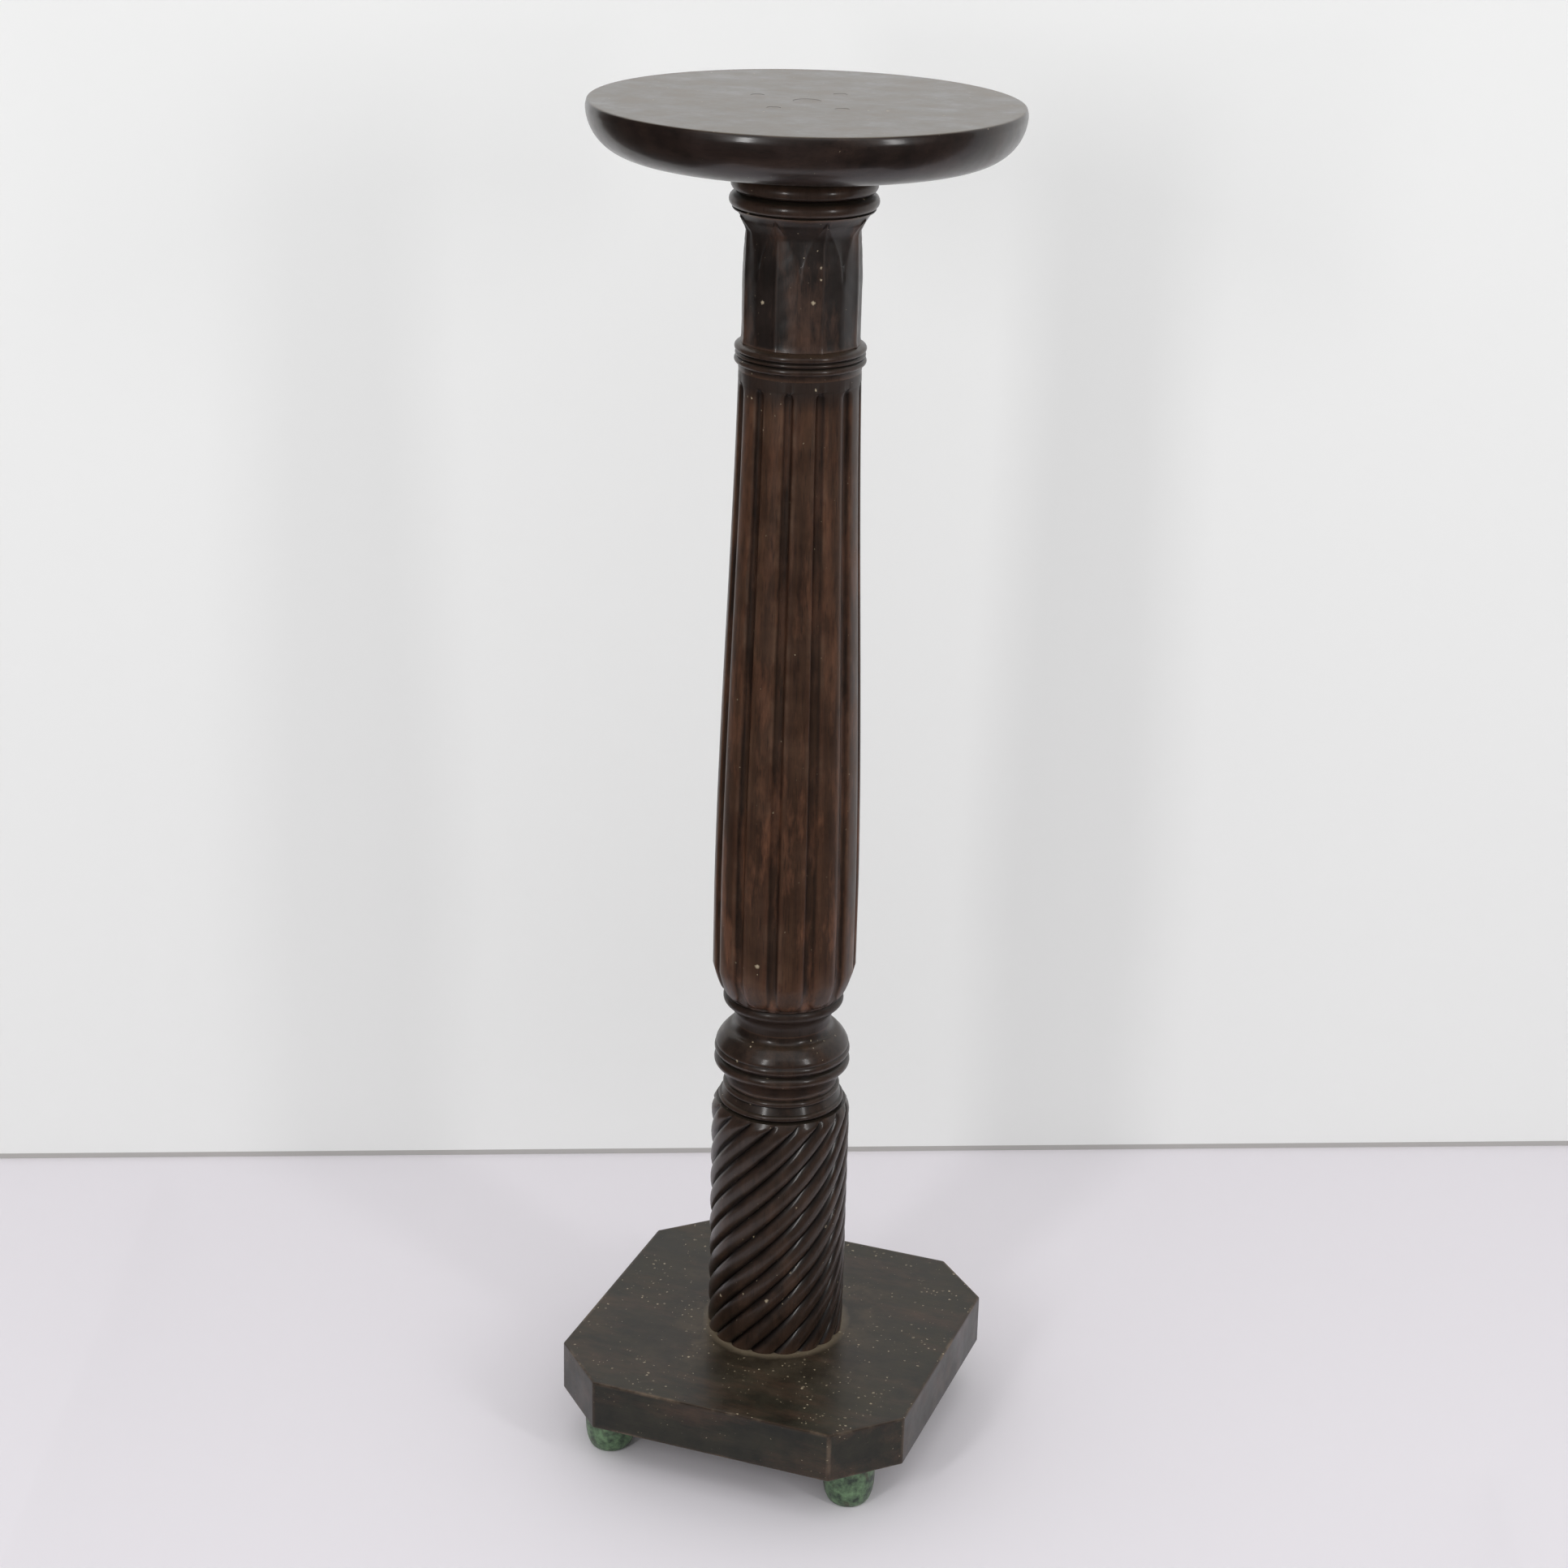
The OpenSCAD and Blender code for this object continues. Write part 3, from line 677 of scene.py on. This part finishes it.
def carve_round(name, rows, repeats):
    """Extrudes one strip from row to row, then repeats it round the axis into a closed piece.

    A row is a height and one pair of radius and angle for each point across the strip.
    """
    rows = [[(r * math.cos(math.radians(a)), r * math.sin(math.radians(a)), height) for r, a in across]
            for height, across in rows]
    piece = start_line(name, Vector(rows[0][0]) * mm)
    for near, far in zip(rows[0], rows[0][1:]):
        bpy.ops.mesh.extrude_region_move(TRANSFORM_OT_translate={"value": (Vector(far) - Vector(near)) * mm})
    bpy.ops.mesh.select_all(action="SELECT")
    for here, there in zip(rows, rows[1:]):
        lay_row(piece, here, there)
    bpy.ops.mesh.select_all(action="SELECT")
    bpy.ops.mesh.spin(steps=repeats - 1, dupli=True, angle=math.tau * (repeats - 1) / repeats,
                      center=(0, 0, 0), axis=(0, 0, 1))
    close_skin(piece)
    return piece


def bead(crest_r, middle_z, radius, start=-75, stop=75):
    """Points of a half round bead in an outline, from below to above."""
    return arc(crest_r - radius, middle_z, radius, start, stop)


strand_pitch = 360 / strands
strand_angles = [strand_pitch * (i / 8 - 0.5) for i in range(9)]


def plain_row(radius, height, angles):
    """A row in which every point stands at the same radius."""
    return height, [(radius, a) for a in angles]


rope_rows = [plain_row(r, z, strand_angles) for r, z in (
    (tenon_r - 0.5, plinth_z), (tenon_r, plinth_z + 0.5), (tenon_r, spiral_z),
)]
rope_heights = [spiral_z + 5 * i for i in range(39)] + [head_z - e for e in (4.5, 2.5, 1)]
for height in rope_heights:
    twist = strand_start + (height - spiral_z) / strand_lead * 360
    widest = spiral_r - max(0, height - head_z + 6) * 0.55
    rope_rows.append((height, [(min(spiral_r - d, widest), a + twist)
                               for d, a in zip(strand_depths, strand_angles)]))
head_angles = [a + strand_start + (head_z - 1 - spiral_z) / strand_lead * 360 for a in strand_angles]
head_outline = (
    [(49.6, head_z), (46.4, head_z + 0.2)]
    + bead(47.9, head_z + 2.8, 2.8, -60, 80)
    + bead(44.6, knop_z - 5, 2.8, -60, 80)
    + [(neck_r, knop_z - 1.5), (neck_r, knop_z), (waist_pin_hole_r, knop_z)]
    + [(waist_pin_hole_r, knop_z - waist_pin_hole_l)]
)
rope_rows += [plain_row(r, z, head_angles) for r, z in head_outline]
rope_twist = carve_round("rope_twist", rope_rows, strands)
shade_smooth(40)
unevenness(rope_twist, 0.4, 14, 2)

# Dark varnished mahogany with its grain along the column
mahogany_dark = wood_finish(
    "dark_varnished_mahogany", figure_size=(6, 6, 90), pore_size=(0.9, 0.9, 14),
    shades=("#1c1410", "#34261e"), worn="#543c2e", figure=0.4, patches=0.4, specks=0.3, dust=0.08,
    gloss=0.37, coat=0.32, mirror=0.25, knocks=0,
    chips=[(11, -51.5, 125.2, 1.6), (-29.4, -43.7, 116.7, 1.3), (-8.4, -51.4, 127.1, 1.1),
           (26.8, -42, 148.6, 0.9), (-18.9, -46.5, 322, 1.1)],
)
rope_twist.data.materials.append(mahogany_dark)
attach(rope_twist, "root")
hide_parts("spiral_shaft")


# Knop: a short turned cushion with two beads, threaded on the long pin that joins the column.
waist_z = 342
waist_r = 36.8
knop_outline = (
    [(waist_pin_hole_r, knop_z), (neck_r, knop_z), (42.5, knop_z + 1.4), (43.4, knop_z + 3)]
    + bead(51.6, knop_z + 15.9, 4.5)
    + bead(51.4, knop_z + 25.5, 3.9, -70, 50)
    + [(50.2, knop_z + 29.1), (50.4, knop_z + 30.1), (50.1, knop_z + 31.2)]
    + [(49.5, knop_z + 32.5), (48.4, knop_z + 34.5), (47.1, knop_z + 36.5)]
    + bead(47, waist_z - 16, 9.6, 33, 76)
    + [(38.5, waist_z - 5.8), (37.6, waist_z - 4.6), (37.1, waist_z - 3), (waist_r, waist_z - 1.2)]
    + [(waist_r, waist_z), (waist_pin_hole_r, waist_z), (waist_pin_hole_r, knop_z)]
)
knop = turn_piece("waist_knop", knop_outline)
shade_smooth(40)
knop.data.materials.append(mahogany_dark)
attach(knop, "root")
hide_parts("knop")


# Reeded column: the long tapered part, turned with a bulb and a bead at its foot, then carved into reeds.
# The reeds end below in rounded tongues, and the flutes between them close in small arches above.
collar_z = 843
reeds = 12
carve_a = -5
shaft_top_r = 43.3
shaft_full_r = 53.9
shaft_full_h = 110
shaft_h = 501
tip_h = 24.6
tip_l = 22
tip_round = 9
tip_ground_r = 44.8
tip_proud = 1.4
flute_depth = 3.2
flute_top_h = 493
spigot_r = 16
spigot_top = 901
reed_half_a = 180 / reeds
reed_flank_a = 12.5
reed_angles = [-15, -12.9, -11.6, -10.6, -9.2, -6, 0, 6, 9.2, 10.6, 11.6, 12.9, 15]
reed_drops = [1, 0.97, 0.74, 0.34, 0.12, 0.03, 0, 0.03, 0.12, 0.34, 0.74, 0.97, 1]


def reed_crown(h):
    """Radius over the reeds at a height over the waist: a tip, a straight, then a long taper."""
    if h < tip_h + tip_l:
        t = (h - tip_h) / tip_l
        low = tip_ground_r + tip_proud
        return low + (shaft_full_r - low) * t * (1.35 - 0.35 * t)
    if h < shaft_full_h:
        return shaft_full_r
    t = (shaft_h - h) / (shaft_h - shaft_full_h)
    rise = t * t * (3 - 2 * t) + 0.55 * t * (1 - t) ** 2 - 0.3 * t * t * (1 - t)
    return shaft_top_r + (shaft_full_r - shaft_top_r) * rise


shaft_outline = (
    [(waist_pin_hole_r, waist_z + waist_pin_hole_l), (waist_pin_hole_r, waist_z)]
    + [(waist_r, waist_z), (waist_r, waist_z + 4)]
    + [(37.1, waist_z + 6), (37.9, waist_z + 8.4), (39.2, waist_z + 10.6), (41.2, waist_z + 12.6)]
    + bead(45.5, waist_z + 18.6, 5, -50, 50)
    + [(tip_ground_r, waist_z + tip_h - 0.4)]
)
reed_across = [a + carve_a for a in reed_angles]
shaft_rows = [plain_row(r, z, reed_across) for r, z in shaft_outline]
shaft_heights = (
    [tip_h + e for e in (0, 0.5, 1.4, 2.8, 4.5, 6.5, 9, 12, 16, tip_l)]
    + [60 + 10 * i for i in range(6)]
    + [shaft_full_h + (flute_top_h - 6 - shaft_full_h) * i / 24 for i in range(25)]
    + [flute_top_h - e for e in (4, 2, 0.8, 0.2)]
)
for h in shaft_heights:
    crown = reed_crown(h)
    deep = tip_proud + (flute_depth - tip_proud) * min(1, (h - tip_h) / tip_l)
    near_end = max(0, 1 - (h - tip_h) / tip_round)
    arch = max(0, 1 - (flute_top_h - h) / 5)
    open_share = math.sqrt(1 - arch * arch)
    width_share = math.sqrt(max(0.05, 1 - near_end * near_end))
    across = []
    for angle, drop in zip(reed_angles, reed_drops):
        rise = 1 - drop
        if near_end > 0:
            rise *= math.sqrt(max(0, 1 - near_end ** 4))
        side = math.copysign(reed_half_a - (reed_half_a - abs(angle)) * open_share, angle) if angle else 0
        if abs(side) < reed_flank_a:
            side *= width_share
        radius = crown - deep * open_share + deep * open_share * rise
        across.append((radius, side + carve_a))
    shaft_rows.append((waist_z + h, across))
shaft_rows += [plain_row(r, z, reed_across) for r, z in (
    (reed_crown(flute_top_h + 1), waist_z + flute_top_h + 1),
    (shaft_top_r, collar_z),
    (spigot_r, collar_z),
    (spigot_r, spigot_top - 1),
    (spigot_r - 0.8, spigot_top),
)]
column = carve_round("reeded_column", shaft_rows, reeds)
shade_smooth(40)

# The same mahogany, redder and lighter, where its stain has worn from the reeds
mahogany_worn = wood_finish(
    "worn_varnished_mahogany", figure_size=(5, 5, 110), pore_size=(0.9, 0.9, 16),
    shades=("#281911", "#422c1d"), worn="#694430", figure=0.5, patches=0.85, specks=0.25, dust=0.08,
    gloss=0.38, coat=0.1, mirror=0.27, knocks=0.3,
    chips=[(-1.8, -53.7, 405.6, 1.8), (25, -35.7, 838, 1.1), (-11, -42.1, 807.3, 0.8)],
    rubbed_heights=(waist_z + tip_h, waist_z + flute_top_h - 6),
)
column.data.materials.append(mahogany_worn)
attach(column, "root")
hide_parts("reeded_shaft")


# Collar: a turned ring with two beads and a fine one between them, round the spigot of the reeded column.
capital_z = 863
spigot_hole_r = 16.1
collar_outline = (
    [(spigot_hole_r, collar_z), (shaft_top_r, collar_z), (43.7, collar_z + 4.1)]
    + bead(46.5, collar_z + 7.2, 2.5)
    + bead(45.9, collar_z + 11.6, 1.4, -60, 60)
    + bead(46.4, collar_z + 16, 2.5)
    + [(42, capital_z), (spigot_hole_r, capital_z), (spigot_hole_r, collar_z)]
)
collar = turn_piece("collar_beads", collar_outline)
shade_smooth(40)
collar.data.materials.append(mahogany_dark)
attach(collar, "root")
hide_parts("collar_ring")


# Capital: a turned drum with a flared rim, carved with eight broad leaves whose tips turn out to the rim.
# Each leaf has a raised midrib, and shallow lobes that rise from it to both sides.
cap_ring_z = 955
capital_h = 92
leaves = 8
leaf_half_a = 180 / leaves
leaf_t = 2.4
capital_r = 42
rim_r = 49
spigot_hole_top = 901.8
top_pin_hole_r = 9.6
top_pin_hole_foot = 914.2
leaf_across = [-1, -0.93, -0.84, -0.67, -0.45, -0.25, -0.1, 0, 0.1, 0.25, 0.45, 0.67, 0.84, 0.93, 1]


def leaf_half(v):
    """Half width of a leaf as a share of its sector, v running up the capital from 0 to 1."""
    if v < 0.6:
        return 1
    return 1 - ((v - 0.6) / 0.37) ** 1.7 if v < 0.97 else 0


def drum(v):
    """Radius of the ground behind the leaves."""
    foot = 0.6 * (1 - v / 0.04) if v < 0.04 else 0
    flare = (rim_r - 0.8 - capital_r + leaf_t) * ((v - 0.84) / 0.16) ** 1.3 if v > 0.84 else 0
    return capital_r - leaf_t + foot + flare


def leaf_rise(u, v):
    """Height of the leaf over the ground, u running from its midrib to the side of the sector."""
    half = leaf_half(v)
    inside = 1 - u / half if half > 0.02 else 0
    joint = 0.92 * min(1, max(0, (0.76 - v) / 0.26))
    edge = 0 if inside <= 0 else 1 if inside > 0.24 else math.sqrt(1 - (1 - inside / 0.24) ** 2)
    hollow = 0.4 * math.sin(math.pi * min(1, u / half)) if inside > 0 else 0
    rib = 0.8 * max(0, 1 - u / 0.2) * min(1, max(0, (0.94 - v) / 0.1)) if half > 0.1 else 0
    waves = max(0, math.sin(math.tau * (v * 6.5 - 0.9 * u)))
    lobes = 0.25 * waves * math.sin(math.pi * min(1, u * 1.05)) * edge
    flat_tip = 1 - 0.45 * min(1, max(0, (v - 0.55) / 0.3))
    return max(0, (leaf_t - hollow) * (joint + (1 - joint) * edge) * flat_tip + rib - lobes)


leaf_angles = [carve_a + leaf_half_a * u for u in leaf_across]
leaf_rows = [plain_row(spigot_hole_r, z, leaf_angles) for z in (spigot_hole_top, capital_z)]
leaf_steps = [0, 0.02, 0.04] + [0.065 + 0.0245 * i for i in range(34)]
leaf_steps += [0.915, 0.93, 0.945, 0.96, 0.975, 0.99, 1]
for v in leaf_steps:
    squeeze = max(0.12, leaf_half(v))
    across = []
    for k in leaf_across:
        u = 1 if abs(k) == 1 else abs(k) * squeeze
        across.append((drum(v) + leaf_rise(u, v), carve_a + math.copysign(leaf_half_a * u, k)))
    leaf_rows.append((capital_z + v * capital_h, across))
leaf_rows += [plain_row(top_pin_hole_r, z, leaf_angles) for z in (cap_ring_z, top_pin_hole_foot)]
capital = carve_round("leaf_capital", leaf_rows, leaves)
shade_smooth(50)
unevenness(capital, 0.4, 12, 3)

# The same varnish, which has gone nearly black on the carving
mahogany_black = wood_finish(
    "blackened_varnished_mahogany", figure_size=(6, 6, 90), pore_size=(0.9, 0.9, 14),
    shades=("#140e0b", "#271b16"), worn="#52382a", figure=0.3, patches=0.8, specks=0.35, dust=0.06,
    gloss=0.42, coat=0.2, knocks=0.1,
    # The last two chips, high on the right midrib, are partly worn spots and partly a painted highlight of
    # the lamps
    chips=[(-14.8, -39, 895.7, 1.5), (21.1, -35.4, 898, 1.5), (25.4, -33.3, 922.5, 0.9),
           (25.7, -33.3, 914.2, 0.9)],
)
capital.data.materials.append(mahogany_black)
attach(capital, "root")
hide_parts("capital")


# Cap moulding: a turned ring of two fat beads under a plain neck, which carries the round top.
top_z = 992
cap_neck_r = 47
cap_outline = (
    [(top_pin_hole_r, cap_ring_z), (rim_r, cap_ring_z), (49.8, cap_ring_z + 1)]
    + bead(52, cap_ring_z + 6.5, 5)
    + bead(51, cap_ring_z + 18, 6)
    + [(cap_neck_r, cap_ring_z + 24.6), (cap_neck_r, top_z)]
    + [(top_pin_hole_r, top_z), (top_pin_hole_r, cap_ring_z)]
)
cap_moulding = turn_piece("cap_moulding", cap_outline)
shade_smooth(40)
cap_moulding.data.materials.append(mahogany_dark)
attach(cap_moulding, "root")
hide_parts("cap_ring")


# Round top: one thick turned disc with a broad rounded edge, pinned and screwed down on the cap moulding.
# Its flat face has lost its shine and mirrors the wall softly.
total_h = 1028
top_r = 150.5
top_edge_r = 32
top_lip_r = 12.3
plug_circle_r = 40
plug_hole_r = 4.85
plug_hole_l = 14
plug_bearings = [math.radians(a) for a in (75, 168, 256, 326)]
plug_places = [(plug_circle_r * math.cos(a), plug_circle_r * math.sin(a)) for a in plug_bearings]

top_outline = (
    [(r, top_z) for r in (0, 12.5, 52, 112)]
    + arc(top_r + 0.05 - top_edge_r, top_z + top_edge_r, top_edge_r, -90, -4, 19)
    + arc(top_r - top_lip_r, total_h - 5.4, top_lip_r, -4, 22, 8)[1:]
    + [(149.2, total_h - 0.35), (148.7, total_h - 0.1), (148, total_h)]
    + [(r, total_h) for r in (145.2, 141, 48, 33, 12.5, 0)]
)
top = turn_piece("round_top", top_outline, steps=144)
drill(top, cutter("pin_hole", top_pin_hole_r, top_z - 1, total_h + 1, [(0, 0)]))
drill(top, cutter("plug_holes", plug_hole_r, total_h - plug_hole_l, total_h + 1, plug_places))
pick(top)
shade_smooth(40)
apply_modifier(top, "WEIGHTED_NORMAL", keep_sharp=True)

# Varnished mahogany board with its grain along X, its face bleached and dulled to a grey beige
mahogany_top = wood_finish(
    "bleached_varnished_mahogany", figure_size=(120, 9, 9), pore_size=(16, 0.9, 0.9),
    shades=("#160f0d", "#281c18"), worn="#3d2d25", figure=0.5, patches=0.5, specks=0.12, dust=0.42,
    gloss=0.33, coat=0.5, mirror=0.3, knocks=0.2,
)
top.data.materials.append(mahogany_top)
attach(top, "root")
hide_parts("top_board")


# Pin and plugs: end-grain wood in the round top, a turned pin in its middle and four plugs over the screws.
# They are glued in and cut off flush, and have shrunk a little way below the face.
pin_face = total_h - 0.1
top_pin_r = 9.55
top_pin_foot = 915
plug_r = 4.8
plug_foot = total_h - 7

end_grain = wood_finish(
    "end_grain_mahogany", figure_size=(2.5, 2.5, 60), pore_size=(0.7, 0.7, 9), shades=("#160f0d", "#281c18"),
    worn="#3d2d25", patches=0.3, specks=0, dust=0.44, gloss=0.33, coat=0.4, knocks=0,
)
top_pin = turn_piece("top_pin_end", [
    (0, top_pin_foot),
    (top_pin_r - 0.65, top_pin_foot),
    (top_pin_r, top_pin_foot + 0.8),
    (top_pin_r, pin_face - 0.2),
    (top_pin_r - 0.15, pin_face),
    (0, pin_face),
], steps=64)
shade_smooth(30)
top_pin.data.materials.append(end_grain)
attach(top_pin, "root")
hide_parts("top_pin")

for number, (x, y) in enumerate(plug_places, 1):
    plug = turn_piece("screw_plug_%d" % number, [
        (0, plug_foot),
        (plug_r - 0.5, plug_foot),
        (plug_r, plug_foot + 0.5),
        (plug_r, pin_face - 0.2),
        (plug_r - 0.1, pin_face),
        (0, pin_face),
    ], steps=40)
    move_points(plug, x, y)
    shade_smooth(30)
    plug.data.materials.append(end_grain)
    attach(plug, "root")
    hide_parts("top_plugs")


# Hidden joinery: the wedge in the tenon, the long pin through the knop and the four screws of the top.
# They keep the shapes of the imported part, and get unvarnished wood and drawn steel.
raw_wood = wood_finish(
    "unvarnished_mahogany", figure_size=(5, 5, 80), pore_size=(0.9, 0.9, 14), shades=("#5d4230", "#86664a"),
    worn="#96775a", patches=0.3, specks=0, dust=0, gloss=0.6, coat=0,
)

# Drawn steel wire, cold headed, with a bright dull skin
steel, tree, output = new_finish("drawn_steel")
place = add_node(tree, "ShaderNodeTexCoord").outputs["Object"]
steel_grain = noise(tree, place, 1000 / 1.5).outputs["Fac"]
steel_shader = add_node(tree, "ShaderNodeBsdfPrincipled", {
    "Base Color": colour("#a9a8a4"),
    "Metallic": 1,
    "Roughness": ranged(tree, steel_grain, 0, 1, 0.25, 0.45),
})
tree.links.new(steel_shader.outputs[0], output.inputs["Surface"])

for name, finish in (("tenon_wedge", raw_wood), ("waist_pin", raw_wood), ("top_screws", steel)):
    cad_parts[name].data.materials.clear()
    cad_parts[name].data.materials.append(finish)
